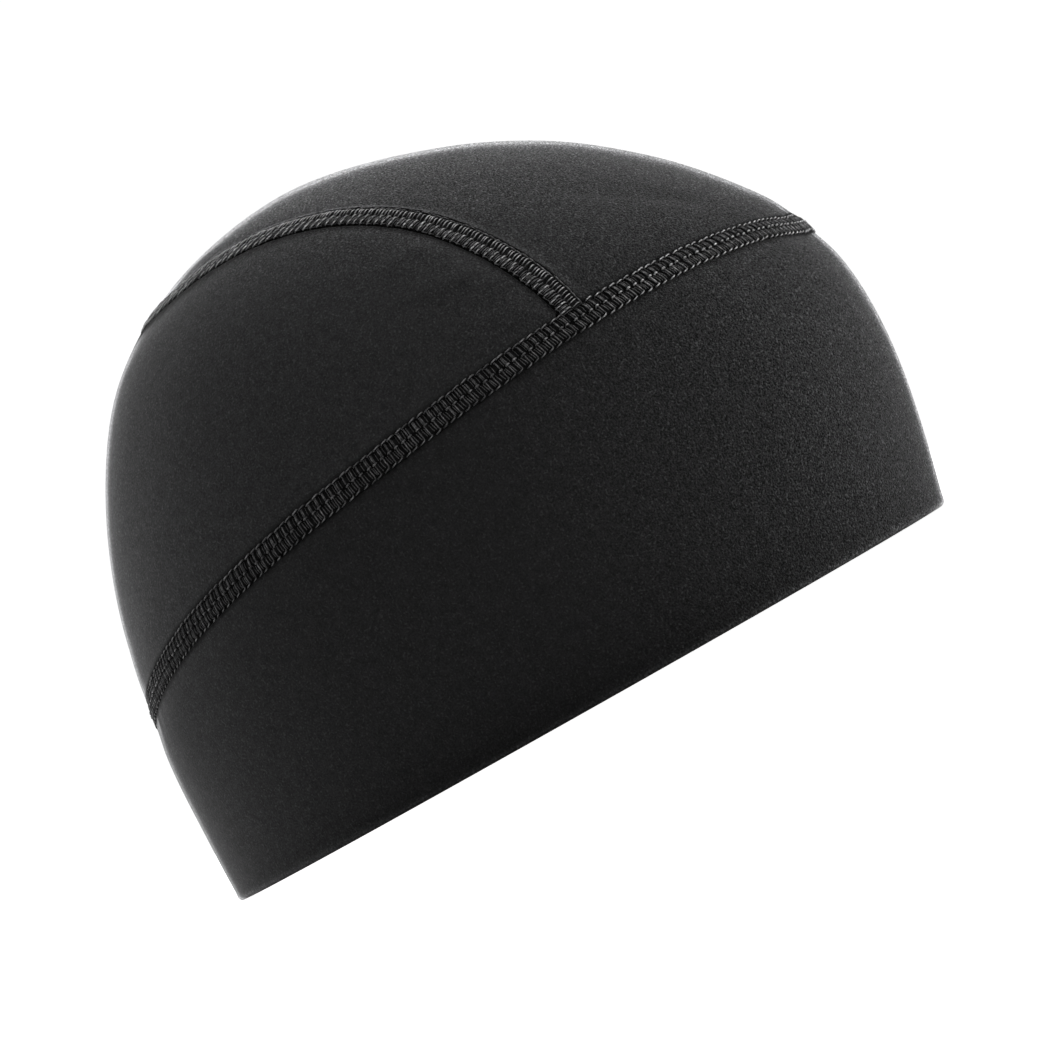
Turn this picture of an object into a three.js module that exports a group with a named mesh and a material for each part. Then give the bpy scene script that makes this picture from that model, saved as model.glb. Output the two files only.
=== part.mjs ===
// A close-fitting softshell beanie, standing on its rim.
// Millimetres, +Z up. The forehead faces -Y and the wearer's right side faces -X.
// An ear band and two crown panels are walls of bonded stretch cloth. Two flatlock seams, modelled as
// raised strips, join them.
import * as THREE from 'three';
import { mergeVertices } from 'three/addons/utils/BufferGeometryUtils.js';

// Driving dimensions
const clothThickness = 1.8;
const seamWidth = 5.8;       // across a flatlock strip
const seamShoulder = 0.9;    // the rounded part along each side of a strip
const seamProud = 0.6;       // how far a strip stands out of the cloth
const seamInside = 0.3;      // how far it stands into the hat
const pieceGap = 0.3;        // between a panel and the strip it is sewn to
const squareness = 0.02;     // fullness of the plan outline between its four ends

// Horizontal sections from the rim to the top of the crown.
// height: above the rim; front, back: reach from the widest line; half: half the width;
// crest: how far the widest line lies behind the crown's top.
const sections = [
  { height: 0, front: 107.5, back: 89, half: 79.5, crest: 6 },
  { height: 25, front: 113.5, back: 88, half: 81.5, crest: 6 },
  { height: 49.5, front: 116.5, back: 85, half: 82.5, crest: 6 },
  { height: 75, front: 111, back: 78.5, half: 81, crest: 5 },
  { height: 96, front: 95.5, back: 70.5, half: 76, crest: 4 },
  { height: 113, front: 76.5, back: 62, half: 67.5, crest: 2.5 },
  { height: 126, front: 56, back: 51, half: 55.5, crest: 1.2 },
  { height: 135.3, front: 34.5, back: 35, half: 40.5, crest: 0.4 },
  { height: 141, front: 15.2, back: 17.2, half: 21, crest: 0 },
  { height: 143, front: 0, back: 0, half: 0, crest: 0 },
];
const topLevel = sections.length - 1;
const widestLevel = 2;       // the section with the longest reach, below which the hat draws in again

// Middle line of the band seam.
// turn: degrees round from the forehead, the same on both sides; height: above the rim.
const bandSeamLine = [
  { turn: 0, height: 74.2 },
  { turn: 30, height: 77.4 },
  { turn: 60, height: 75.1 },
  { turn: 90, height: 67.9 },
  { turn: 120, height: 59.9 },
  { turn: 150, height: 49.9 },
  { turn: 180, height: 47 },
];

// Middle line of the crown seam in plan, from just under the band seam at the temple to the rear.
// side: distance from the middle of the hat; back: distance behind the crown's top.
const crownSeamLine = [
  { side: 64, back: -71 },
  { side: 60.1, back: -64 },
  { side: 56.6, back: -54.5 },
  { side: 53, back: -42 },
  { side: 49.7, back: -25 },
  { side: 47.6, back: -8 },
  { side: 45.4, back: 9 },
  { side: 41.2, back: 23.5 },
  { side: 31.8, back: 34.8 },
  { side: 17.1, back: 41.8 },
  { side: 0, back: 44.2 },
];

// Fineness of the faceted walls
const turnSteps = 72;
const bandRows = 5;
const crownSteps = 48;
const topRows = 14;
const sideRows = 10;

// A smooth curve through evenly spaced values. A level end arrives with no slope.
function smoothColumn(values, levelEnd) {
  const last = values.length - 1;
  const bend = new Array(last + 1).fill(0);
  const share = new Array(last + 1).fill(0);
  for (let i = 1; i < last; i += 1) {
    const pivot = 4 - share[i - 1];
    share[i] = 1 / pivot;
    bend[i] = (6 * (values[i + 1] - 2 * values[i] + values[i - 1]) - bend[i - 1]) / pivot;
  }
  if (levelEnd) {
    bend[last] = (6 * (values[last - 1] - values[last]) - bend[last - 1]) / (2 - share[last - 1]);
  }
  for (let i = last - 1; i > 0; i -= 1) bend[i] -= share[i] * bend[i + 1];
  return (position) => {
    const i = Math.min(Math.max(Math.floor(position), 0), last - 1);
    const b = position - i;
    const a = 1 - b;
    const curve = ((a ** 3 - a) * bend[i] + (b ** 3 - b) * bend[i + 1]) / 6;
    return a * values[i] + b * values[i + 1] + curve;
  };
}

const sectionColumn = (name, levelEnd) => smoothColumn(sections.map((row) => row[name]), levelEnd);
const heightAt = sectionColumn('height', true);
const frontAt = sectionColumn('front', false);
const backAt = sectionColumn('back', false);
const halfAt = sectionColumn('half', false);
const crestAt = sectionColumn('crest', false);

// A point of the cloth's outer face. turn is in radians from the forehead, positive to the right ear,
// and level counts sections up from the rim.
function facePoint(turn, level) {
  const full = 1 + squareness * Math.sin(2 * turn) ** 2;
  const reach = Math.cos(turn) > 0 ? frontAt(level) : backAt(level);
  return new THREE.Vector3(
    -halfAt(level) * Math.sin(turn) * full,
    crestAt(level) - reach * Math.cos(turn) * full,
    heightAt(level),
  );
}

// The face is charted flat, so that a panel can run over the top. The chart's centre is the top of
// the crown, the forehead is towards -Y, and the distance from the centre counts sections down.
function spotAt(turn, level) {
  const down = topLevel - level;
  return new THREE.Vector2(-down * Math.sin(turn), -down * Math.cos(turn));
}

const turnOf = (spot) => Math.atan2(-spot.x, -spot.y);
const levelOf = (spot) => topLevel - spot.length();
const pointAt = (spot) => facePoint(turnOf(spot), levelOf(spot));

// How the face point moves along the chart's two directions
function slopesAt(spot) {
  const step = 0.01;
  return [new THREE.Vector2(step, 0), new THREE.Vector2(0, step)].map((move) => {
    const ahead = pointAt(spot.clone().add(move));
    const behind = pointAt(spot.clone().sub(move));
    return ahead.sub(behind).divideScalar(2 * step);
  });
}

function outwardAt(spot) {
  const [slopeX, slopeY] = slopesAt(spot);
  return slopeX.cross(slopeY).normalize();
}

// The spot reached by a short step over the face
function stepOver(spot, direction, distance) {
  const [slopeX, slopeY] = slopesAt(spot);
  const xx = slopeX.dot(slopeX);
  const xy = slopeX.dot(slopeY);
  const yy = slopeY.dot(slopeY);
  const x = direction.dot(slopeX) * distance;
  const y = direction.dot(slopeY) * distance;
  const area = xx * yy - xy * xy;
  return new THREE.Vector2(spot.x + (yy * x - xy * y) / area, spot.y + (xx * y - xy * x) / area);
}

// Where a function that crosses zero once does so, by halving
function crossing(low, high, valueAt) {
  const rises = valueAt(high) > valueAt(low);
  for (let i = 0; i < 40; i += 1) {
    const middle = (low + high) / 2;
    if (valueAt(middle) > 0 === rises) high = middle;
    else low = middle;
  }
  return (low + high) / 2;
}

// The spot of a crown point that is given in plan
function spotInPlan(x, y) {
  const turnAt = (level) => {
    const ahead = crestAt(level) - y;
    const reach = ahead > 0 ? frontAt(level) : backAt(level);
    return Math.atan2(-x / halfAt(level), ahead / reach);
  };
  const level = crossing(widestLevel, topLevel - 0.01, (at) => {
    const edge = facePoint(turnAt(at), at);
    return Math.hypot(edge.x, edge.y - crestAt(at)) - Math.hypot(x, y - crestAt(at));
  });
  return spotAt(turnAt(level), level);
}

const bandSeamSpacing = THREE.MathUtils.degToRad(bandSeamLine[1].turn);
const bandSeamHeight = smoothColumn(bandSeamLine.map((row) => row.height), true);

// The band seam's level at a turn, moved up over the cloth by a distance
function bandSeamLevel(turn, rise) {
  const round = Math.abs(Math.atan2(Math.sin(turn), Math.cos(turn)));
  const height = bandSeamHeight(round / bandSeamSpacing);
  const level = crossing(0, topLevel, (at) => heightAt(at) - height);
  const levelSize = facePoint(turn, level + 0.01).distanceTo(facePoint(turn, level)) / 0.01;
  return level + rise / levelSize;
}

// The crown seam's middle line on the chart, from the right temple over the rear to the left one
const crownSeamCurve = new THREE.SplineCurve([
  ...crownSeamLine.map((row) => spotInPlan(-row.side, row.back)),
  ...crownSeamLine.slice(0, -1).reverse().map((row) => spotInPlan(row.side, row.back)),
]);

// The crown seam's spot at a share of its length, moved towards the rear panel by a distance
function crownSeamSpot(share, shift) {
  const spot = crownSeamCurve.getPointAt(share);
  const before = crownSeamCurve.getPointAt(Math.max(share - 0.004, 0));
  const after = crownSeamCurve.getPointAt(Math.min(share + 0.004, 1));
  const run = pointAt(after).sub(pointAt(before)).normalize();
  const rearward = outwardAt(spot).cross(run);
  return stepOver(spot, rearward, shift);
}

const panelEdge = seamWidth / 2 + pieceGap;

// The share of the crown seam at which it, so moved, comes off the band seam
function crownSeamStart(shift) {
  return crossing(0, 0.15, (share) => {
    const spot = crownSeamSpot(share, shift);
    return levelOf(spot) - bandSeamLevel(turnOf(spot), panelEdge);
  });
}

// A grid of spots. Its rows go up the cloth and its columns to the left as seen from outside.
// spotFor takes the two shares of the grid.
function spotGrid(rows, columns, spotFor) {
  const grid = [];
  for (let i = 0; i <= rows; i += 1) {
    const row = [];
    for (let j = 0; j <= columns; j += 1) row.push(spotFor(i / rows, j / columns));
    grid.push(row);
  }
  return grid;
}

// The cloth's face over a grid of spots, raised by a distance of its own for each row
function raised(grid, lifts) {
  return grid.map((row, i) => row.map((spot) => {
    return pointAt(spot).addScaledVector(outwardAt(spot), lifts[i]);
  }));
}

// A closed body between an outer and an inner grid of points
function wallGeometry(outer, inner) {
  const smallest = 1e-3;
  const positions = [];
  const triangle = (a, b, c) => {
    const thin = Math.min(a.distanceTo(b), b.distanceTo(c), c.distanceTo(a));
    if (thin > smallest) positions.push(...a.toArray(), ...b.toArray(), ...c.toArray());
  };
  const quad = (a, b, c, d) => {
    triangle(a, b, c);
    triangle(a, c, d);
  };
  const top = outer.length - 1;
  const end = outer[0].length - 1;
  for (let i = 0; i < top; i += 1) {
    for (let j = 0; j < end; j += 1) {
      quad(outer[i][j], outer[i + 1][j], outer[i + 1][j + 1], outer[i][j + 1]);
      quad(inner[i][j], inner[i][j + 1], inner[i + 1][j + 1], inner[i + 1][j]);
    }
  }
  for (let j = 0; j < end; j += 1) {
    quad(outer[0][j], outer[0][j + 1], inner[0][j + 1], inner[0][j]);
    quad(outer[top][j], inner[top][j], inner[top][j + 1], outer[top][j + 1]);
  }
  const closesRound = outer[0][0].distanceTo(outer[0][end]) < smallest;
  for (let i = 0; i < top && !closesRound; i += 1) {
    quad(outer[i][0], inner[i][0], inner[i + 1][0], outer[i + 1][0]);
    quad(outer[i][end], outer[i + 1][end], inner[i + 1][end], inner[i][end]);
  }
  const geometry = new THREE.BufferGeometry();
  geometry.setAttribute('position', new THREE.Float32BufferAttribute(positions, 3));
  const merged = mergeVertices(geometry, smallest);
  merged.computeVertexNormals();
  return merged;
}

const clothMaterial = new THREE.MeshStandardMaterial({ color: 0x2c2c2e, roughness: 0.95, metalness: 0 });
const threadMaterial = new THREE.MeshStandardMaterial({ color: 0x26262a, roughness: 0.8, metalness: 0 });

function clothPiece(name, grid) {
  const outer = raised(grid, grid.map(() => 0));
  const inner = raised(grid, grid.map(() => -clothThickness));
  const mesh = new THREE.Mesh(wallGeometry(outer, inner), clothMaterial);
  mesh.name = name;
  return mesh;
}

// The ear band: a ring from the flat rim up to the band seam
function makeBand() {
  const grid = spotGrid(bandRows, turnSteps, (up, round) => {
    const turn = round * 2 * Math.PI;
    return spotAt(turn, up * bandSeamLevel(turn, -panelEdge));
  });
  const outer = raised(grid, grid.map(() => 0));
  const inner = raised(grid, grid.map(() => -clothThickness));
  inner[0].forEach((point) => point.setZ(0));
  const mesh = new THREE.Mesh(wallGeometry(outer, inner), clothMaterial);
  mesh.name = 'band';
  return mesh;
}

// The front and top panel: a tongue from the forehead over the head to the rear of the crown
function makeCrownTop() {
  const start = crownSeamStart(-panelEdge);
  const corner = turnOf(crownSeamSpot(start, -panelEdge));
  return clothPiece('crown_top', spotGrid(topRows, crownSteps, (up, across) => {
    const turn = THREE.MathUtils.lerp(-corner, corner, across);
    const share = THREE.MathUtils.lerp(1 - start, start, across);
    const low = spotAt(turn, bandSeamLevel(turn, panelEdge));
    return low.lerp(crownSeamSpot(share, -panelEdge), up);
  }));
}

// The horseshoe panel round the two sides and the back
function makeCrownSide() {
  const start = crownSeamStart(panelEdge);
  const corner = turnOf(crownSeamSpot(start, panelEdge));
  return clothPiece('crown_side', spotGrid(sideRows, crownSteps, (up, across) => {
    const turn = THREE.MathUtils.lerp(corner, 2 * Math.PI - corner, across);
    const share = THREE.MathUtils.lerp(start, 1 - start, across);
    const low = spotAt(turn, bandSeamLevel(turn, panelEdge));
    return low.lerp(crownSeamSpot(share, panelEdge), up);
  }));
}

// A flatlock strip: level with the cloth at its edges, proud of it between them
function seamPiece(name, columns, spotFor) {
  const flat = seamWidth / 2 - seamShoulder;
  const offsets = [-seamWidth / 2, -flat, flat, seamWidth / 2];
  const grid = spotGrid(offsets.length - 1, columns, (up, along) => {
    return spotFor(offsets[Math.round(up * (offsets.length - 1))], along);
  });
  const outer = raised(grid, [0, seamProud, seamProud, 0]);
  const inner = raised(grid, [0, -seamInside, -seamInside, 0].map((lift) => lift - clothThickness));
  const mesh = new THREE.Mesh(wallGeometry(outer, inner), threadMaterial);
  mesh.name = name;
  return mesh;
}

function makeBandSeam() {
  return seamPiece('band_seam', turnSteps, (offset, round) => {
    const turn = round * 2 * Math.PI;
    return spotAt(turn, bandSeamLevel(turn, offset));
  });
}

function makeCrownSeam() {
  return seamPiece('crown_seam', crownSteps, (offset, along) => {
    const start = crownSeamStart(-offset);
    return crownSeamSpot(THREE.MathUtils.lerp(start, 1 - start, along), -offset);
  });
}

const beanie = new THREE.Group();
beanie.add(makeBand(), makeCrownTop(), makeCrownSide(), makeBandSeam(), makeCrownSeam());

// The origin lies under the middle of the hat, level with the rim
const extent = new THREE.Box3().setFromObject(beanie);
beanie.position.y = -(extent.min.y + extent.max.y) / 2;

export default beanie;
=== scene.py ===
import math
import bpy
import numpy as np
from mathutils import Matrix, Vector


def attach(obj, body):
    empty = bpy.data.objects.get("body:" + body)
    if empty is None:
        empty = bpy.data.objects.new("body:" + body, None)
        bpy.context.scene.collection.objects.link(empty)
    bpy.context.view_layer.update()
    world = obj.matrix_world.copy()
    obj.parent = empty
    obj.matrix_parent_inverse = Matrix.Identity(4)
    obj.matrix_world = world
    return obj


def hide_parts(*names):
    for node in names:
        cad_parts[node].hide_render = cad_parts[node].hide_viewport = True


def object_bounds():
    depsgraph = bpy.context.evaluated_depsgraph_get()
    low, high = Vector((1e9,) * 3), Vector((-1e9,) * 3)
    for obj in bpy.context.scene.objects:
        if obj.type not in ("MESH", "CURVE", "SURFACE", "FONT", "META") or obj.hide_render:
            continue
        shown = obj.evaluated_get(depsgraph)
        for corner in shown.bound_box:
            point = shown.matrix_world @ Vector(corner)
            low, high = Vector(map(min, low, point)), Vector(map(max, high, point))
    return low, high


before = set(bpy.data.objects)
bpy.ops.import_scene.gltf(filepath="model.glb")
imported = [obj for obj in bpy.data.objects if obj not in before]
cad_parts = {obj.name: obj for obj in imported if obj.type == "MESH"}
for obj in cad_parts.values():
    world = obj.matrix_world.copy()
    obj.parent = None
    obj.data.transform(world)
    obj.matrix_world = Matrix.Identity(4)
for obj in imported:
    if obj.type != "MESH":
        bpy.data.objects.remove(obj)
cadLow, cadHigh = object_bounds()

metresPerMm = 0.001

# the camera
cameraSet = {
    "azimuth": -70,  # degrees round the hat, 0 looks at the forehead
    "distance": 0.95,  # metres to the middle of the hat
    "aboveFloor": 0.014,  # metres
    "aimRight": 0.0031,  # what the view is centred on, from the middle of the hat
    "aimUp": -0.0264,
    "roll": 29.5,  # degrees, the front end of the hat rides up
    "lens": 134.9,
    "sensor": 36,
    "clip": (0.05, 60),
}


def awayFrom(turn, rise):
    # a direction out from the hat, both angles in radians
    return Vector((math.sin(turn) * math.cos(rise), -math.cos(turn) * math.cos(rise), math.sin(rise)))


def viewAxes(ahead):
    # rightward and upward for a level look ahead
    side = ahead.cross(Vector((0, 0, 1))).normalized()
    return side, side.cross(ahead)


def addObject(name, data):
    made = bpy.data.objects.new(name, data)
    bpy.context.scene.collection.objects.link(made)
    return made


def makeCamera():
    middle = (cadLow + cadHigh) / 2
    rise = math.asin((cameraSet["aboveFloor"] - middle.z) / cameraSet["distance"])
    away = awayFrom(math.radians(cameraSet["azimuth"]), rise)
    place = middle + away * cameraSet["distance"]
    side, upward = viewAxes(-away)
    aim = middle + side * cameraSet["aimRight"] + upward * cameraSet["aimUp"]
    ahead = (aim - place).normalized()
    side, upward = viewAxes(ahead)
    lean = math.radians(cameraSet["roll"])
    rolledSide = side * math.cos(lean) - upward * math.sin(lean)
    rolledUp = side * math.sin(lean) + upward * math.cos(lean)
    data = bpy.data.cameras.new("productCamera")
    data.lens = cameraSet["lens"]
    data.sensor_width = cameraSet["sensor"]
    data.clip_start, data.clip_end = cameraSet["clip"]
    camera = addObject("productCamera", data)
    axes = Matrix((rolledSide, rolledUp, -ahead)).transposed().to_4x4()
    camera.matrix_world = Matrix.Translation(place) @ axes
    bpy.context.scene.camera = camera


makeCamera()
print("camera made")

# the hat's surface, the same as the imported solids'
hatSet = {
    # height above the rim, reach to the front and back of the widest line, half the width, and how far
    # the widest line lies behind the crown's top
    "sections": [
        (0, 107.5, 89, 79.5, 6), (25, 113.5, 88, 81.5, 6),
        (49.5, 116.5, 85, 82.5, 6), (75, 111, 78.5, 81, 5),
        (96, 95.5, 70.5, 76, 4), (113, 76.5, 62, 67.5, 2.5),
        (126, 56, 51, 55.5, 1.2), (135.3, 34.5, 35, 40.5, 0.4),
        (141, 15.2, 17.2, 21, 0), (143, 0, 0, 0, 0),
    ],
    "widestLevel": 2,
    "squareness": 0.02,
    "bandSeamTurn": 30,  # degrees between the heights of the band seam, from forehead to rear
    "bandSeamHeights": (74.2, 77.4, 75.1, 67.9, 59.9, 49.9, 47),
    "bandSeamDip": (-22, 13, 2.6),  # it sags left of the forehead: turn and width in degrees, depth
    # the crown seam in plan: distance from the middle, and behind the crown's top
    "crownSeamPlan": [
        (64, -71), (60.1, -64), (56.6, -54.5), (53, -42), (49.7, -25), (47.6, -8),
        (45.4, 9), (41.2, 23.5), (31.8, 34.8), (17.1, 41.8), (0, 44.2),
    ],
    "shiftBack": 7.617,  # puts the middle of the hat's length over the origin
    "cloth": 1.8,
}
topLevel = len(hatSet["sections"]) - 1


def smoothColumn(values, levelEnd):
    # a smooth curve through evenly spaced values, with no slope at its end where asked
    values = np.asarray(values, float)
    last = len(values) - 1
    matrix = np.eye(last + 1)
    pull = np.zeros(last + 1)
    for i in range(1, last):
        matrix[i, i - 1:i + 2] = 1, 4, 1
        pull[i] = 6 * (values[i + 1] - 2 * values[i] + values[i - 1])
    if levelEnd:
        matrix[last, last - 1:] = 1, 2
        pull[last] = 6 * (values[last - 1] - values[last])
    bend = np.linalg.solve(matrix, pull)

    def at(position):
        i = np.clip(np.floor(position), 0, last - 1).astype(int)
        b = position - i
        a = 1 - b
        return a * values[i] + b * values[i + 1] + ((a**3 - a) * bend[i] + (b**3 - b) * bend[i + 1]) / 6

    return at


columns = list(zip(*hatSet["sections"]))
heightAt = smoothColumn(columns[0], True)
frontAt, backAt, halfAt, crestAt = (smoothColumn(column, False) for column in columns[1:])
levelTable = np.linspace(0, topLevel, 9001)
heightTable = heightAt(levelTable)
seamHeightAt = smoothColumn(hatSet["bandSeamHeights"], True)


def facePoint(turn, level):
    # turn is in radians from the forehead to the right ear, level counts sections up from the rim
    full = 1 + hatSet["squareness"] * np.sin(2 * turn) ** 2
    reach = np.where(np.cos(turn) > 0, frontAt(level), backAt(level))
    x = -halfAt(level) * np.sin(turn) * full
    y = crestAt(level) - reach * np.cos(turn) * full + hatSet["shiftBack"]
    return np.stack([x, y, heightAt(level) + 0 * turn], -1)


def spotAt(turn, level):
    # the face charted flat round the crown's top, so that a panel can run over it
    down = topLevel - level
    return np.stack([-down * np.sin(turn), -down * np.cos(turn)], -1)


def turnOf(spot):
    return np.arctan2(-spot[..., 0], -spot[..., 1])


def levelOf(spot):
    return topLevel - np.hypot(spot[..., 0], spot[..., 1])


def pointAt(spot):
    return facePoint(turnOf(spot), levelOf(spot))


def slopesAt(spot):
    step = 0.01
    return [(pointAt(spot + move) - pointAt(spot - move)) / (2 * step) for move in np.eye(2) * step]


def unit(vectors):
    return vectors / np.linalg.norm(vectors, axis=-1, keepdims=True)


def outwardAt(spot):
    slopeX, slopeY = slopesAt(spot)
    return unit(np.cross(slopeX, slopeY))


def stepOver(spot, direction, distance):
    # a short step over the face
    slopeX, slopeY = slopesAt(spot)
    xx = (slopeX * slopeX).sum(-1)
    xy = (slopeX * slopeY).sum(-1)
    yy = (slopeY * slopeY).sum(-1)
    x = (direction * slopeX).sum(-1) * distance
    y = (direction * slopeY).sum(-1) * distance
    area = xx * yy - xy * xy
    return spot + np.stack([(yy * x - xy * y) / area, (xx * y - xy * x) / area], -1)


def levelAtHeight(height):
    return np.interp(height, heightTable, levelTable)


def bandSeamLevel(turn, rise):
    around = np.abs(np.arctan2(np.sin(turn), np.cos(turn)))
    dipTurn, dipWidth, dipDepth = hatSet["bandSeamDip"]
    fromDip = np.degrees(np.arctan2(np.sin(turn), np.cos(turn))) - dipTurn
    height = seamHeightAt(around / math.radians(hatSet["bandSeamTurn"]))
    level = levelAtHeight(height - dipDepth * np.exp(-((fromDip / dipWidth) ** 2)))
    size = np.linalg.norm(facePoint(turn, level + 0.01) - facePoint(turn, level), axis=-1) / 0.01
    return level + rise / size


def zeroPlace(values):
    # where a row of values first falls below zero, counted in steps, or 0 where it starts so
    i = int(np.argmax(values < 0))
    return i - 1 + values[i - 1] / (values[i - 1] - values[i]) if i else 0


def spotInPlan(x, back):
    # the spot of a crown point given in plan
    level = np.linspace(hatSet["widestLevel"], topLevel - 0.01, 4000)
    ahead = crestAt(level) - back
    reach = np.where(ahead > 0, frontAt(level), backAt(level))
    turn = np.arctan2(-x / halfAt(level), ahead / reach)
    edge = facePoint(turn, level)
    edgeBack = edge[:, 1] - hatSet["shiftBack"] - crestAt(level)
    place = zeroPlace(np.hypot(edge[:, 0], edgeBack) - np.hypot(x, back - crestAt(level)))
    steps = np.arange(len(level))
    return spotAt(np.interp(place, steps, turn), np.interp(place, steps, level))


def smoothPath(knots, ends, count):
    # a smooth path through a few points; ends are the points that steer its two ends
    knots = np.concatenate([ends[:1], knots, ends[1:]])
    last = len(knots) - 3
    position = np.linspace(0, last, count)
    i = np.clip(np.floor(position), 0, last - 1).astype(int)
    t = (position - i)[:, None]
    p0, p1, p2, p3 = (knots[i + k] for k in range(4))
    bend = (2 * p0 - 5 * p1 + 4 * p2 - p3) * t**2 + (3 * p1 - p0 - 3 * p2 + p3) * t**3
    return 0.5 * (2 * p1 + (p2 - p0) * t + bend)


def runLength(points):
    steps = np.linalg.norm(np.diff(points, axis=0), axis=-1)
    return np.concatenate([[0], np.cumsum(steps)])


# the crown seam's middle line on the chart, from the right temple over the rear to the left one
rightKnots = np.array([spotInPlan(-side, back) for side, back in hatSet["crownSeamPlan"]])
seamKnots = np.concatenate([rightKnots, rightKnots[-2::-1] * (-1, 1)])
crownCurve = smoothPath(seamKnots, seamKnots[[0, -1]], 6001)
crownRun = runLength(pointAt(crownCurve))
crownLength = crownRun[-1]
crownRunUnit = unit(np.gradient(pointAt(crownCurve), axis=0))


def crownSeamSpot(run, shift):
    # the crown seam's spot so many millimetres along it, moved over the cloth towards the rear
    spot = np.stack([np.interp(run, crownRun, crownCurve[:, k]) for k in (0, 1)], -1)
    along = unit(np.stack([np.interp(run, crownRun, crownRunUnit[:, k]) for k in (0, 1, 2)], -1))
    rearward = np.cross(outwardAt(spot), along)
    return stepOver(spot, rearward, np.asarray(shift))


def crownSeamStart(shift, clear):
    # how far along the crown seam it, so moved, comes clear of the band seam's middle line
    run = np.linspace(0, 40, 801)
    spot = crownSeamSpot(run, shift + 0 * run)
    place = zeroPlace(bandSeamLevel(turnOf(spot), clear) - levelOf(spot))
    return float(np.interp(place, np.arange(len(run)), run))


print("surface ready, crown seam", round(float(crownLength), 1), "mm")


# making meshes
def softNoise(points, wavelength, seed):
    # a smooth wandering value of about -1 to 1 over points in space
    random = np.random.default_rng(seed)
    waves = 14
    usualPeak = 3.7
    total = 0
    for _ in range(waves):
        direction = unit(random.normal(size=3))
        wave = wavelength * random.uniform(0.7, 1.6)
        total = total + np.sin(points @ direction * (2 * math.pi / wave) + random.uniform(0, 2 * math.pi))
    return total / usualPeak


def lineNoise(run, wavelengths, seed):
    # the same along a closed line, from the run at its points and its shortest and longest wave
    random = np.random.default_rng(seed)
    waves = 10
    usualPeak = 3.2
    total = 0
    for _ in range(waves):
        turns = round(run[-1] / random.uniform(*wavelengths))
        total = total + np.sin(run * (2 * math.pi * turns / run[-1]) + random.uniform(0, 2 * math.pi))
    return total / usualPeak


def addMesh(name, points, faces, faceUv, material):
    # points in millimetres, a list of faces, and a clothMap place for each corner
    mesh = bpy.data.meshes.new(name)
    mesh.from_pydata((points * metresPerMm).tolist(), [], faces)
    layer = mesh.uv_layers.new(name="clothMap")
    layer.data.foreach_set("uv", faceUv.reshape(-1))
    mesh.polygons.foreach_set("use_smooth", [True] * len(mesh.polygons))
    mesh.materials.append(material)
    mesh.validate()
    mesh.update()
    return addObject(name, mesh)


def cornersOf(grid):
    # the four corners of each face of one grid, or of many
    corners = [grid[:, :-1, :-1], grid[:, :-1, 1:], grid[:, 1:, 1:], grid[:, 1:, :-1]]
    return np.stack(corners, 3).reshape(-1, 4, *grid.shape[3:])


def gridFaces(grid, uv, turned):
    # corner numbers and clothMap places of a grid's faces
    found = cornersOf(grid[None]), cornersOf(uv[None])
    return tuple(corners[:, ::-1] for corners in found) if turned else found


def wallMesh(name, outer, inner, uv, ringed, material):
    # a closed wall between two grids of points, whose rows go up and columns to the left seen from
    # outside; where it is ringed the last column is the first again
    rows, cols = outer.shape[:2]
    kept = cols - 1 if ringed else cols
    numbers = np.arange(rows * kept).reshape(rows, kept)
    if ringed:
        numbers = np.concatenate([numbers, numbers[:, :1]], 1)
    insideNumbers = numbers + rows * kept
    points = np.concatenate([outer[:, :kept].reshape(-1, 3), inner[:, :kept].reshape(-1, 3)])
    parts = [gridFaces(numbers, uv, True), gridFaces(insideNumbers, uv, False)]
    borders = [(np.s_[0], False), (np.s_[-1], True)]
    if not ringed:
        borders += [(np.s_[:, 0], True), (np.s_[:, -1], False)]
    for border, turned in borders:
        edge = np.stack([numbers[border], insideNumbers[border]])
        parts.append(gridFaces(edge, np.stack([uv[border], uv[border]]), turned))
    faces, places = (np.concatenate(fields) for fields in zip(*parts))
    return addMesh(name, points, faces.tolist(), places, material)


# shader effects
def feed(tree, socket, value):
    # a socket takes a link, a colour or a plain number
    if isinstance(value, bpy.types.NodeSocket):
        tree.links.new(value, socket)
    elif isinstance(value, tuple):
        socket.default_value = (*value, 1)
    else:
        socket.default_value = value


def newGroup(name, inputs, outputs):
    # every socket is a number; inputs come with their default values
    group = bpy.data.node_groups.new(name, "ShaderNodeTree")
    for label, value in inputs.items():
        socket = group.interface.new_socket(name=label, in_out="INPUT", socket_type="NodeSocketFloat")
        socket.default_value = value
    for label in outputs:
        group.interface.new_socket(name=label, in_out="OUTPUT", socket_type="NodeSocketFloat")
    given = group.nodes.new("NodeGroupInput").outputs
    return group, given, group.nodes.new("NodeGroupOutput").inputs


def newNode(tree, kind, inputs=(), **settings):
    # inputs are pairs of a socket's name or number and its value
    node = tree.nodes.new("ShaderNode" + kind)
    for label, value in settings.items():
        setattr(node, label, value)
    for label, value in inputs:
        feed(tree, node.inputs[label], value)
    return node


def mathNode(tree, operation, *values):
    return newNode(tree, "Math", enumerate(values), operation=operation).outputs[0]


def times(tree, *values):
    return mathNode(tree, "MULTIPLY", *values)


def timesPlus(tree, *values):
    return mathNode(tree, "MULTIPLY_ADD", *values)


def noiseNode(tree, *values):
    # the place, scale, detail and roughness
    labels = ("Vector", "Scale", "Detail", "Roughness")
    return newNode(tree, "TexNoise", zip(labels, values)).outputs["Fac"]


def rangeNode(tree, *values):
    # the value, the range that it comes in and the range that it goes to
    labels = ("Value", "From Min", "From Max", "To Min", "To Max")
    return newNode(tree, "MapRange", zip(labels, values)).outputs["Result"]


def objectPlace(tree):
    return newNode(tree, "TexCoord").outputs["Object"]


def splitNode(tree, vector):
    return newNode(tree, "SeparateXYZ", [(0, vector)]).outputs


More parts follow.
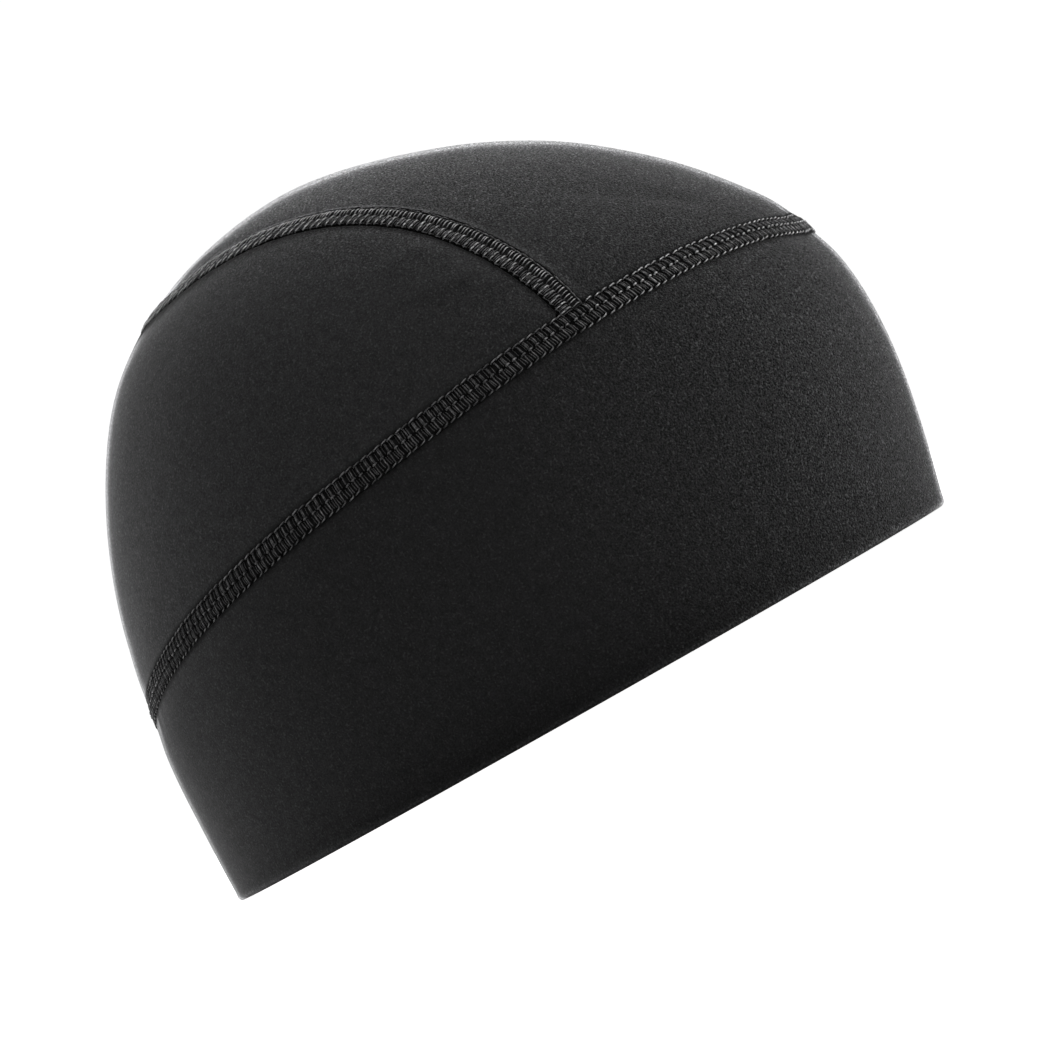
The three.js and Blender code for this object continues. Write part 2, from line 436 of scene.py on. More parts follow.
def clothMapNode(tree):
    return splitNode(tree, newNode(tree, "UVMap", uv_map="clothMap").outputs["UV"])


def paintedLightShadeNode(tree):
    # the painted highlight and painted shade that the mesh carries as a point attribute
    return newNode(tree, "Attribute", attribute_name="paintedLightShade").outputs["Fac"]


napSet = {
    # metres: the nap is flat up to the first place ahead of the middle and rough from the second one on,
    # and what is over topStart high counts as so much further ahead
    "roughens": (0.03, 0.09),
    "topStart": 0.1,
    "topGain": 2,
    "grainRange": (0.36, 0.64),
    "fleckScale": 0.8,
    "fleckRange": (0.62, 0.76),
    "fleckHeight": 0.5,
    "mottleScale": 420,
    "mottleRange": (0.3, 0.7),
}


def makeNapGroup():
    # the brushed face of the cloth: fine grain, pale flecks of fibre and slow mottling, as a shade
    # round 1 and a height round 0; the nap lies flatter towards the rear of the hat
    inputs = {"Grain Mm": 0.5, "Grain Depth": 0.4, "Fleck": 0.4, "Mottle": 0.1}
    inputs.update({"Rear Nap": 0.55, "Front Nap": 1.75})
    group, given, made = newGroup("brushedNap", inputs, ("Shade", "Height"))
    place = objectPlace(group)
    axes = splitNode(group, place)
    high = mathNode(group, "MAXIMUM", mathNode(group, "SUBTRACT", axes[2], napSet["topStart"]), 0)
    ahead = mathNode(group, "SUBTRACT", times(group, high, napSet["topGain"]), axes[1])
    rough = rangeNode(group, ahead, *napSet["roughens"], given["Rear Nap"], given["Front Nap"])
    perMetre = mathNode(group, "DIVIDE", 1000, given["Grain Mm"])
    grain = rangeNode(group, noiseNode(group, place, perMetre, 1.5, 0.6), *napSet["grainRange"], -1, 1)
    fleckNoise = noiseNode(group, place, times(group, perMetre, napSet["fleckScale"]), 0, 0.5)
    fleck = rangeNode(group, fleckNoise, *napSet["fleckRange"], 0, 1)
    mottleNoise = noiseNode(group, place, napSet["mottleScale"], 2, 0.6)
    mottle = rangeNode(group, mottleNoise, *napSet["mottleRange"], -1, 1)
    shade = timesPlus(group, grain, times(group, given["Grain Depth"], rough), 1)
    shade = timesPlus(group, fleck, times(group, given["Fleck"], rough), shade)
    shade = timesPlus(group, mottle, given["Mottle"], shade)
    height = times(group, timesPlus(group, fleck, napSet["fleckHeight"], grain), rough)
    feed(group, made["Shade"], shade)
    feed(group, made["Height"], times(group, height, rough))
    return group


knitSet = {
    "wander": 700,  # scale of the noise that the lines stray by, and how far, in radians
    "stray": {"Wale Mm": 1.6, "Course Mm": 2.4},
    "courseDepth": 0.5,  # of the wales' depth
    "depth": 0.33,
}


def makeKnitGroup():
    # fine wales and courses of the jersey, laid out by the clothMap in millimetres
    group, given, made = newGroup("jerseyKnit", {"Wale Mm": 0.58, "Course Mm": 0.42}, ("Height",))
    axes = clothMapNode(group)
    wander = noiseNode(group, objectPlace(group), knitSet["wander"], 1, 0.5)
    wander = mathNode(group, "SUBTRACT", wander, 0.5)
    waves = []
    for axis, label in ((axes[0], "Wale Mm"), (axes[1], "Course Mm")):
        phase = times(group, mathNode(group, "DIVIDE", axis, given[label]), 2 * math.pi)
        waves.append(mathNode(group, "SINE", timesPlus(group, wander, knitSet["stray"][label], phase)))
    both = timesPlus(group, waves[1], knitSet["courseDepth"], waves[0])
    feed(group, made["Height"], times(group, both, knitSet["depth"]))
    return group


# noise that breaks up the painted highlight and painted shade
paintedLightShadeSet = {
    "breakScale": 1100,
    "breakRange": (0.35, 0.7),
    "breakTo": (0.55, 1.25),
}


def makePaintedLightShadeGroup():
    # painted light and shade: the mesh says where the cloth is painted paler or darker, noise breaks it up
    group, given, made = newGroup("paintedLightAndShade", {"Amount": 0.5}, ("Mask",))
    noise = noiseNode(group, objectPlace(group), paintedLightShadeSet["breakScale"], 2, 0.6)
    broken = rangeNode(group, noise, *paintedLightShadeSet["breakRange"], *paintedLightShadeSet["breakTo"])
    feed(group, made["Mask"], times(group, times(group, paintedLightShadeNode(group), broken), given["Amount"]))
    return group


napGroup = makeNapGroup()
knitGroup = makeKnitGroup()
paintedLightShadeGroup = makePaintedLightShadeGroup()


def addGroup(tree, group, values):
    return newNode(tree, "Group", values.items(), node_tree=group).outputs


def newMaterial(name, settings):
    material = bpy.data.materials.new(name)
    material.use_nodes = True
    shader = material.node_tree.nodes["Principled BSDF"]
    for label, value in settings.items():
        shader.inputs[label].default_value = value
    return material, material.node_tree, shader


def shadeColour(tree, shader, factor, first, second, shade):
    # the base colour is mixed of two, then made darker or paler
    mixed = newNode(tree, "Mix", [(0, factor), (6, first), (7, second)], data_type="RGBA")
    scaled = newNode(tree, "VectorMath", [(0, mixed.outputs[2]), ("Scale", shade)], operation="SCALE")
    feed(tree, shader.inputs["Base Color"], scaled.outputs["Vector"])


def bumpNode(tree, shader, *values):
    # the height, its strength and its distance
    node = newNode(tree, "Bump", zip(("Height", "Strength", "Distance"), values))
    feed(tree, shader.inputs["Normal"], node.outputs["Normal"])


clothLook = {
    "colour": (0.024, 0.024, 0.0245),
    # painted highlight: the paler colour that the painted light mask mixes towards
    "clothHighlightColour": (0.1, 0.1, 0.102),
    "nap": {"Grain Mm": 0.42, "Grain Depth": 0.44, "Fleck": 1.1, "Mottle": 0.12},
    "knitShade": 0.04,
    "darkest": 0.1,
    "knitBump": 0.25,
    "bumpMetres": 0.00003,
    # painted sheen: how much paler the nap's colour is made seen aslant, nearly edge on and quite edge on
    "aslant": 1.6,
    "edgeSheen": 4,
    "edgeGlow": 370,
    "edgeStart": 0.55,
    "sheenPower": 2,
    "glowPower": 12,
    "mostGlow": 14,
    "creaseClear": 2.5,  # a crease has none of it
    "shader": {"Roughness": 0.95, "Specular IOR Level": 0.12, "Sheen Weight": 0.1, "Sheen Roughness": 0.35},
}


def makeClothMaterial(name, look):
    material, tree, shader = newMaterial(name, look["shader"])
    nap = addGroup(tree, napGroup, look["nap"])
    knit = addGroup(tree, knitGroup, {})
    # painted light and shade from the mesh: above 0 it mixes towards the paler colour, below 0 it is painted
    # shade
    paintedLightShade = addGroup(tree, paintedLightShadeGroup, {"Amount": 1})
    crease = mathNode(tree, "MINIMUM", paintedLightShade["Mask"], 0)
    shade = timesPlus(tree, knit["Height"], look["knitShade"], nap["Shade"])
    shade = mathNode(tree, "MAXIMUM", shade, look["darkest"])
    shade = times(tree, shade, mathNode(tree, "ADD", crease, 1))
    # painted sheen: the colour is made paler aslant and edge on, with a painted glow at the outline, and none
    # in a crease
    edgeOn = newNode(tree, "LayerWeight").outputs["Facing"]
    nearly = rangeNode(tree, edgeOn, look["edgeStart"], 1, 0, 1)
    glow = times(tree, mathNode(tree, "POWER", nearly, look["glowPower"]), look["edgeGlow"])
    glow = mathNode(tree, "MINIMUM", glow, look["mostGlow"])
    paintedSheen = timesPlus(tree, mathNode(tree, "POWER", nearly, look["sheenPower"]), look["edgeSheen"], glow)
    paintedSheen = timesPlus(tree, edgeOn, look["aslant"], paintedSheen)
    clear = mathNode(tree, "MAXIMUM", timesPlus(tree, crease, look["creaseClear"], 1), 0)
    shade = times(tree, shade, timesPlus(tree, paintedSheen, clear, 1))
    shadeColour(tree, shader, paintedLightShade["Mask"], look["colour"], look["clothHighlightColour"], shade)
    height = timesPlus(tree, knit["Height"], look["knitBump"], nap["Height"])
    bumpNode(tree, shader, height, 1, look["bumpMetres"])
    return material


threadLook = {
    "colour": (0.028, 0.028, 0.029),
    # painted highlight: the paler colour that the threads' painted light mixes towards
    "raisedColour": (0.62, 0.62, 0.625),
    "nap": {"Grain Mm": 0.5, "Grain Depth": 0.3, "Fleck": 0.5, "Mottle": 0.1},
    "twistMm": 0.55,
    "plies": 2,
    "plyShade": 0.22,
    "darkest": 0.15,
    "plyBump": 0.5,
    "bumpStrength": 0.7,
    "bumpMetres": 0.00006,
    "shader": {"Roughness": 0.6, "Specular IOR Level": 0.4, "Sheen Weight": 0.3, "Sheen Roughness": 0.4},
}


def makeThreadMaterial(name, look):
    # textured filament thread: twisted plies along the clothMap, which holds length and turn round it
    material, tree, shader = newMaterial(name, look["shader"])
    axes = clothMapNode(tree)
    turns = timesPlus(tree, axes[1], look["plies"], mathNode(tree, "DIVIDE", axes[0], look["twistMm"]))
    ply = mathNode(tree, "SINE", times(tree, turns, 2 * math.pi))
    nap = addGroup(tree, napGroup, look["nap"])
    shade = mathNode(tree, "MAXIMUM", timesPlus(tree, ply, look["plyShade"], nap["Shade"]), look["darkest"])
    # painted highlight and painted shade from the mesh
    shadeColour(tree, shader, paintedLightShadeNode(tree), look["colour"], look["raisedColour"], shade)
    height = timesPlus(tree, ply, look["plyBump"], nap["Height"])
    bumpNode(tree, shader, height, look["bumpStrength"], look["bumpMetres"])
    return material


clothMaterial = makeClothMaterial("softshellCloth", clothLook)
# painted shade: the seam's folded cloth is darker than the panels, for the shade between its stitches, with
# less painted sheen
seamLook = {"colour": (0.014, 0.014, 0.0145), "edgeSheen": 1.5, "edgeGlow": 60}
seamClothMaterial = makeClothMaterial("seamCloth", {**clothLook, **seamLook})
threadMaterial = makeThreadMaterial("seamThread", threadLook)
print("materials made")

# cloth panels
panelSet = {
    "edgeAbove": 2.8,  # from a seam's middle line to the cloth on its upper side
    "edgeBelow": 3,  # and on its lower side
    "edgeRoll": 0.4,  # how far a panel's edge rolls in under the stitches
    "crease": 0.85,  # painted shade: the cloth is darker in the crease where it meets a seam
    "creaseReach": 0.75,
    "pucker": 0.07,  # height of the gathers that the seams pull
    "puckerReach": 4,
    "gathers": (4.5, 9),  # their shortest and longest wave
    "swell": 0.32,  # slow unevenness of the cloth, which dies away towards a seam or the rim
    "swellWaves": [(70, 0.7, 11), (26, 0.22, 12)],  # wavelength, share and seed
    "swellReach": 14,
    "swellLeast": 0.05,
    "valley": 0.45,  # the cloth dips so far beside the band seam
    "valleyReach": 5,
    # the folded cloth of the seams lies a little lower than the panels: millimetres behind the middle
    # of the hat and how much lower
    "bandSeamSink": [(-104, 0.5), (-94, 0.15), (40, 0.15), (75, 0.5)],
    "crownSeamSink": 0.15,
    # at the front the top panel stands out along the crown seam and the side panel in
    "crownLean": 0.4,
    "crownLeanReach": 3,
    "crownRear": (0.1, 0.35),  # shares of the crown seam between which its front gives way to its rear
    # soft folds: turn in degrees and height of both ends, width, rise; the left side has them weaker
    "sideFolds": [
        ((64, 108.9), (55.6, 108.2), 2.6, 0.3),
        ((63, 99), (53.1, 97.4), 3, 0.42),
        ((62, 86), (53, 85), 2.6, 0.36),
        ((72, 92), (62.5, 93), 3, 0.2),
        ((160, 64), (160, 98), 22, 0.6),
    ],
    "topFolds": [
        ((31.5, 106), (16, 88), 4, -0.4),
    ],
    "leftFolds": 0.6,
    "foldEnd": 1.2,  # how softly a fold ends, in quarters of its length
    "foldReach": 4,  # the folds and the lean die away so near a seam
}


def rolledIn(distance):
    # how far the face has dropped at a distance from a panel's edge
    radius = panelSet["edgeRoll"]
    inside = np.clip(radius - distance, 0, radius)
    return radius - np.sqrt(radius**2 - inside**2)


def unevenness(points, fromEdge):
    waves = sum(share * softNoise(points, length, seed) for length, share, seed in panelSet["swellWaves"])
    quiet = np.clip(fromEdge / panelSet["swellReach"], panelSet["swellLeast"], 1)
    return panelSet["swell"] * waves * quiet


def gathersAt(line, wavelengths, seed, fromSeam):
    # the gathers beside a seam, whose line has a point for each column
    waves = lineNoise(runLength(line), wavelengths, seed)
    return panelSet["pucker"] * waves * np.exp(-fromSeam / panelSet["puckerReach"])


def bellAt(distance, middle, width):
    return np.exp(-(((distance - middle) / width) ** 2))


def crownRearAt(share):
    # 0 at the ends of the crown seam and 1 at the rear, by the share of its length
    start, end = panelSet["crownRear"]
    rearward = np.clip((0.5 - np.abs(share - 0.5) - start) / (end - start), 0, 1)
    return rearward**2 * (3 - 2 * rearward)


def valleyDip(distance):
    return panelSet["valley"] * bellAt(distance, 0, panelSet["valleyReach"])


def creaseShade(distance, reach):
    # how much darker the cloth is in the crease where it meets a seam
    return panelSet["crease"] * bellAt(distance, 0, reach)


def foldRise(points, folds):
    # the soft folds' height at points of the face
    total = np.zeros(points.shape[:-1])
    for side, strength in ((1, 1), (-1, panelSet["leftFolds"])):
        for (startTurn, startHeight), (endTurn, endHeight), width, rise in folds:
            turns = np.radians([side * startTurn, side * endTurn])
            start, end = facePoint(turns, levelAtHeight(np.array([startHeight, endHeight])))
            length = np.linalg.norm(end - start)
            along = (points - start) @ (end - start) / length
            nearest = start + np.clip(along, 0, length)[..., None] * (end - start) / length
            away = np.linalg.norm(points - nearest, axis=-1)
            quarter = length / 4
            beyond = np.maximum(np.abs(along - length / 2) - quarter, 0) / quarter
            bell = bellAt(away, 0, width) * bellAt(beyond, 0, panelSet["foldEnd"])
            total = total + strength * rise * bell
    return total


# painted light and shade on a piece, as a point attribute: above 0 painted paler, below 0 painted darker
def setPaintedLightShade(piece, values):
    attribute = piece.data.attributes.new("paintedLightShade", "FLOAT", "POINT")
    attribute.data.foreach_set("value", values.astype(np.float32).reshape(-1))


def panelShell(name, spots, face, move, edgeDrop, mapRun, fromLow, ringed):
    # a panel's two faces, moved off the even face and drawn together at its edges
    outward = outwardAt(spots)
    outer = face + outward * (move[0] - edgeDrop)[..., None]
    inner = face + outward * (move[1] - hatSet["cloth"] + edgeDrop)[..., None]
    if ringed:
        outer[0, :, 2] = 0
        inner[0, :, 2] = 0
    uv = np.stack([np.broadcast_to(mapRun, fromLow.shape), fromLow], -1)
    return wallMesh(name, outer, inner, uv, ringed, clothMaterial)


def runUp(face):
    # how far every point lies above the lowest row
    return np.cumsum(np.linalg.norm(np.diff(face, axis=0, prepend=face[:1]), axis=-1), 0)


bandSet = {
    "columns": 480,
    "rows": 42,
    "rowCrowding": 1.25,  # the rows lie closer towards the seam
    "rimRows": 9,
    "rimRound": 1.5,
    "rimFlat": 0.3,  # half the flattened width that it stands on
    "rimBead": 0.16,  # the cut edge swells a little
    "beadAt": (0.9, 0.7),  # its middle above the rim and its width
    "rimHighlight": 0.5,  # painted highlight: how pale the cut edge is
    "rimHighlightAt": (0.7, 0.6),
    "rimHighlightInside": 0.5,  # how much of that painted highlight shows inside
    "lowPale": 0.02,  # painted light: the cloth above it is a little paler too, fading upwards
    "lowPaleReach": 24,
    "mapLevel": 1.6,  # the clothMap has its true length at this section
    "seed": 21,
}


def makeBand():
    turn = np.linspace(0, 2 * math.pi, bandSet["columns"] + 1)
    topEdge = bandSeamLevel(turn, -panelSet["edgeBelow"])
    arc = np.linspace(math.pi / 2, 0, bandSet["rimRows"])
    rimHeights = bandSet["rimRound"] * (1 - np.sin(arc))
    rimDrops = (hatSet["cloth"] / 2 - bandSet["rimFlat"]) * (1 - np.cos(arc))
    share = np.sin(np.linspace(0, math.pi / 2, bandSet["rows"] + 1)[1:]) ** bandSet["rowCrowding"]
    rimLevel = levelAtHeight(rimHeights)
    rise = rimLevel[-1] + share[:, None] * (topEdge - rimLevel[-1])
    level = np.concatenate([np.repeat(rimLevel[:, None], len(turn), 1), rise])
    drop = np.concatenate([rimDrops, np.zeros(bandSet["rows"])])[:, None]
    spots = spotAt(np.broadcast_to(turn, level.shape), level)
    face = pointAt(spots)
    up = runUp(face)
    fromSeam = up[-1] - up
    move = unevenness(face, up) - valleyDip(fromSeam)
    move = move + gathersAt(facePoint(turn, topEdge), panelSet["gathers"], bandSet["seed"], fromSeam)
    bead = bandSet["rimBead"] * bellAt(up, *bandSet["beadAt"])
    mapRun = runLength(facePoint(turn, bandSet["mapLevel"] + 0 * turn))
    edgeDrop = drop + rolledIn(fromSeam)
    piece = panelShell("bandCloth", spots, face, (move + bead, move - bead), edgeDrop, mapRun, up, True)
    # painted highlight along the rim, painted light low on the band and painted shade in the crease at the
    # seam
    paintedLightShade = bandSet["rimHighlight"] * bellAt(up, *bandSet["rimHighlightAt"])
    paintedLightShade = paintedLightShade + bandSet["lowPale"] * bellAt(up, 0, bandSet["lowPaleReach"])
    paintedLightShade = paintedLightShade - creaseShade(fromSeam, panelSet["creaseReach"])
    setPaintedLightShade(piece, np.concatenate([paintedLightShade[:, :-1], paintedLightShade[:, :-1] * bandSet["rimHighlightInside"]]))
    return piece


crownSet = {
    "columns": 200,
    "topRows": 116,
    "sideRows": 72,
    "tip": 0.004,  # share of the width cut off at a panel's pointed corners
    "seamGathers": (4, 8.5),
    "pale": {1: 0.24, -1: 0.13},  # painted light: how much paler the top and the side panel are towards the rear
    "paleFrom": -80,  # millimetres behind the middle of the hat
    "paleOver": 60,
    "edgePale": 0.35,  # painted highlight: the top panel is paler along its edge at the rear
    "edgePaleAt": (1.8, 3.2),
    # the side panel's painted shade in the crease at the crown seam: its darkness, and how much darker and
    # wider at the rear
    "sideCrease": 0.72,
    "rearDarker": 0.25,
    "rearWider": 4.5,
    "seeds": (31, 32),  # of the gathers at the panels' lower and upper edge
}


def makeCrownPanel(name, rows, folds, crownSide):
    # crownSide is 1 for the panel above the crown seam and -1 for the one below it
    isTop = crownSide > 0
    above = panelSet["edgeAbove"]
    shift = -above if isTop else panelSet["edgeBelow"]
    start = crownSeamStart(shift, above)
    corner = float(turnOf(crownSeamSpot(np.array(start), shift)))
    turns = (-corner, corner) if isTop else (corner, 2 * math.pi - corner)
    runs = (crownLength - start, start) if isTop else (start, crownLength - start)
    across = np.linspace(crownSet["tip"], 1 - crownSet["tip"], crownSet["columns"] + 1)
    turn = turns[0] + (turns[1] - turns[0]) * across
    low = spotAt(turn, bandSeamLevel(turn, above))
    high = crownSeamSpot(runs[0] + (runs[1] - runs[0]) * across, shift)
    up = (1 - np.cos(np.linspace(0, math.pi, rows + 1)))[:, None, None] / 2
    spots = low * (1 - up) + high * up
    face = pointAt(spots)
    rise = runUp(face)
    fromTop = rise[-1] - rise
    nearest = np.minimum(rise, fromTop)
    rearward = crownRearAt(across)
    lean = crownSide * panelSet["crownLean"] * (1 - rearward) * bellAt(fromTop, 0, panelSet["crownLeanReach"])
    move = unevenness(face, nearest) - valleyDip(rise)
    move = move + gathersAt(face[0], panelSet["gathers"], crownSet["seeds"][0], rise)
    move = move + gathersAt(face[-1], crownSet["seamGathers"], crownSet["seeds"][1], fromTop)
    move = move + foldRise(face, folds) * np.clip(nearest / panelSet["foldReach"], 0, 1)
    move = move + lean * np.clip(rise / panelSet["foldReach"], 0, 1)
    mapRun = runLength(face[len(face) // 2])
    piece = panelShell(name, spots, face, (move, move), rolledIn(nearest), mapRun, rise, False)
    # painted light towards the rear, painted shade in the creases at the seams, and on the top panel a
    # painted highlight along its edge at the rear
    pale = np.clip((face[..., 1] - crownSet["paleFrom"]) / crownSet["paleOver"], 0, 1)
    paintedLightShade = crownSet["pale"][crownSide] * pale
    paintedLightShade = paintedLightShade - creaseShade(rise, panelSet["creaseReach"])
    if isTop:
        paintedLightShade = paintedLightShade - creaseShade(fromTop, panelSet["creaseReach"])
        paintedLightShade = paintedLightShade + crownSet["edgePale"] * rearward * bellAt(fromTop, *crownSet["edgePaleAt"])
    else:
        crease = creaseShade(fromTop, panelSet["creaseReach"] * (1 + crownSet["rearWider"] * rearward))
        paintedLightShade = paintedLightShade - crease * (crownSet["sideCrease"] + crownSet["rearDarker"] * rearward)
    setPaintedLightShade(piece, np.concatenate([paintedLightShade, paintedLightShade]))
    return piece


panels = (
    (makeBand(), "band"),
    (makeCrownPanel("crownTopCloth", crownSet["topRows"], panelSet["topFolds"], 1), "crown_top"),
    (makeCrownPanel("crownSideCloth", crownSet["sideRows"], panelSet["sideFolds"], -1), "crown_side"),
)
for piece, node in panels:
    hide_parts(node)
    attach(piece, "root")
print("cloth panels made")


# seams
seamReach = 4.5  # half width of the charts of the cloth along a seam
sheetOffsets = np.linspace(-seamReach, seamReach, 19)


def readTable(table, places):
    # in-between values of a short table of places and values, or one number for all places
    if isinstance(table, (int, float)):
        return table + 0 * places
    return np.interp(places, *np.array(table, float).T)


def makeSheet(spots, closed, lifts, sink):
    # a chart of the cloth along a seam: spots and lifts off the even face are offsets by runs, and run is
    # measured on the middle row
    face = pointAt(spots)
    run = runLength(face[len(face) // 2])
    outward = outwardAt(spots)
    face = face + outward * (lifts - readTable(sink, face[..., 1]))[..., None]
    return {"face": face, "outward": outward, "run": run, "closed": closed}


def bandSeamSheet():
    turn = np.linspace(0, 2 * math.pi, 3001)
    spots = np.stack([spotAt(turn, bandSeamLevel(turn, offset)) for offset in sheetOffsets])
    return makeSheet(spots, True, -panelSet["valley"], panelSet["bandSeamSink"])


def crownSeamSheet():
    run = np.linspace(0, crownLength, 1801)
    spots = np.stack([crownSeamSpot(run, -offset + 0 * run) for offset in sheetOffsets])
    rearward = crownRearAt(run / crownLength)
    out = np.clip(sheetOffsets / panelSet["edgeBelow"], -1, 1)[:, None] * panelSet["crownLean"]
    out = out * (1 - rearward)
    return makeSheet(spots, False, out, panelSet["crownSeamSink"])


def onSheet(sheet, run, across, lift):
    # points so far along a seam, across it (up is positive) and off the cloth's outer face
    length = sheet["run"][-1]
    if sheet["closed"]:
        run = np.mod(run, length)
    column = np.interp(run, sheet["run"], np.arange(len(sheet["run"])))
    i = np.clip(column.astype(int), 0, len(sheet["run"]) - 2)
    a = (column - i)[..., None]
    row = (across + seamReach) / (2 * seamReach) * (len(sheetOffsets) - 1)
    j = np.clip(row.astype(int), 0, len(sheetOffsets) - 2)
    b = (row - j)[..., None]
    found = []
    for field in (sheet["face"], sheet["outward"]):
        low = field[j, i] * (1 - a) + field[j, i + 1] * a
        high = field[j + 1, i] * (1 - a) + field[j + 1, i + 1] * a
        found.append(low * (1 - b) + high * b)
    normal = unit(found[1])
    return found[0] + normal * np.asarray(lift)[..., None], normal


def tubes(paths, normals, radius, flatness, sides):
    # one closed tube for each path; returns points, side faces, their clothMap places and end faces
    count, steps = paths.shape[:2]
    along = unit(np.gradient(paths, axis=1))
    across = unit(np.cross(along, normals))
    outward = np.cross(across, along)
    angle = np.linspace(0, 2 * math.pi, sides, endpoint=False) + math.pi / 2
    wide = np.cos(angle)[:, None] * radius[..., None, None]
    tall = np.sin(angle)[:, None] * radius[..., None, None] * flatness
    rings = paths[:, :, None] + across[:, :, None] * wide + outward[:, :, None] * tall
    numbers = np.arange(count * steps * sides).reshape(count, steps, sides)
    wrapped = np.concatenate([numbers, numbers[:, :, :1]], 2)
    lengths = np.linalg.norm(np.diff(paths, axis=1), axis=-1)
    run = np.concatenate([np.zeros((count, 1)), np.cumsum(lengths, 1)], 1)
    turnShare = np.arange(sides + 1) / sides
    uv = np.stack(np.broadcast_arrays(run[:, :, None], turnShare), -1)
    faces, places = (cornersOf(grid)[:, (0, 3, 2, 1)] for grid in (wrapped, uv))
    ends = np.concatenate([numbers[:, 0], numbers[:, -1, ::-1]])
    return rings.reshape(-1, 3), faces, places.reshape(-1, 2), ends


threadSet = {
    # how far a stitch, a thread of it and a point of that stray: stitches along, millimetres across and off
    "stitchStray": (0.05, 0.06, 0.04),
    "threadStray": (0.05, 0.06, 0.03),
    "pointStray": (0.015, 0.02, 0.015),
    "gloss": (0.6, 1.25),
    "thickness": (0.85, 1.15),
    "flatness": 0.85,
    "underPale": 0.3,  # painted shade: how pale a thread's underside and its ends are, of the painted highlight on its crest
    "endPale": 0.04,
    "crestPower": 2.6,
    "palest": 1.6,
    # a broken thread ends so many stitches from a gap, and its rest is hidden under the cloth
    "gapReach": 1.4,
    "hiddenRadius": 0.02,
    "hiddenDepth": 0.6,
}


def thread(radius, raised, steps, *path, broken=False):
    # path is given as stitches towards the forehead, millimetres across and millimetres off the cloth;
    # the second argument is how pale the thread's painted highlight is, steps are along it, and a broken one
    # is left out at the gaps
    return {"radius": radius, "raised": raised, "steps": steps, "path": path, "broken": broken}


def threadPiece(name, sheet, settings, pitch, runs, gaps, seed):
    # every stitch of a seam; runs is where the stitches start and end, paleness says how pale the threads'
    # painted highlights are from the front of the hat to its rear, slant how far the threads lean, in
    # stitches per millimetre across, and unevenness how much they differ
    random = np.random.default_rng(seed)
    sides = settings["sides"]

    def stray(shape, label):
        return random.normal(0, 1, shape) * np.array(threadSet[label])

    count = int(round((runs[1] - runs[0]) / pitch))
    step = (runs[1] - runs[0]) / count
    first = runs[0] + (np.arange(count) + 1) * step
    drift = stray((count, 3), "stitchStray")
    middle = onSheet(sheet, first, 0 * first, 0 * first)[0]
    pale, slant, uneven = (readTable(settings[k], middle[:, 1]) for k in ("paleness", "slant", "unevenness"))
    # painted highlight on the top of each thread's ring and painted shade on its underside
    topLit = np.maximum(np.cos(np.arange(sides) * 2 * math.pi / sides), 0)
    topLit = threadSet["underPale"] + (1 - threadSet["underPale"]) * topLit
    made = []
    shades = []
    used = 0
    for one in settings["threads"]:
        knots = np.array(one["path"], float)
        path = smoothPath(knots, 2 * knots[[0, -1]] - knots[[1, -2]], one["steps"])
        # painted shade towards the thread's ends
        crest = np.sin(np.linspace(0, math.pi, len(path))) ** threadSet["crestPower"]
        crest = threadSet["endPale"] + (1 - threadSet["endPale"]) * crest
        gloss = random.uniform(*threadSet["gloss"], count) ** uneven
        shake = stray((count, 1, 3), "threadStray")
        local = path[None] + drift[:, None] + shake + stray((count, len(path), 3), "pointStray")
        run = first[:, None] - (local[..., 0] + slant[:, None] * local[..., 1]) * step
        place, normal = onSheet(sheet, run, local[..., 1], local[..., 2])
        thickness = random.uniform(*threadSet["thickness"], (count, 1))
        radius = one["radius"] * thickness * np.ones((1, len(path)))
        if one["broken"]:
            fromGap = np.min(np.abs(first[:, None] - np.asarray(gaps)[None]), 1)
            near = (fromGap < threadSet["gapReach"] * pitch)[:, None]
            radius = np.where(near, threadSet["hiddenRadius"], radius)
            place = np.where(near[..., None], place - normal * threadSet["hiddenDepth"], place)
        ring, side, places, end = tubes(place, normal, radius, threadSet["flatness"], sides)
        made.append((ring, side + used, end + used, places))
        # how pale the painted highlight is: the thread's value, random gloss, the seam's paleness, the crest
        # and the ring's top
        shade = one["raised"] * (gloss * pale ** one["raised"])[:, None] * crest
        shades.append((shade[..., None] * topLit).reshape(-1))
        used += len(ring)
    points, faces, ends, places = (np.concatenate(fields) for fields in zip(*made))
    places = np.concatenate([places, np.zeros((ends.size, 2))])
    piece = addMesh(name, points, faces.tolist() + ends.tolist(), places, threadMaterial)
    setPaintedLightShade(piece, np.minimum(np.concatenate(shades), threadSet["palest"]))
    return piece


stripSet = {
    "rows": 19,
    "stepsPerStitch": 5,
    "hollow": 0.11,  # half the depth of the hollows between the cross threads
    "barTurn": 0.5,
    "lineDark": 0.65,  # painted shade: the cloth is darker along some lines
    "lineWidth": 0.3,
    "darkest": 0.9,
    # its underside: how deep it lies in the cloth, at the edges and more in the middle, and its hollows
    "underside": (0.35, 0.65, 0.05),
}


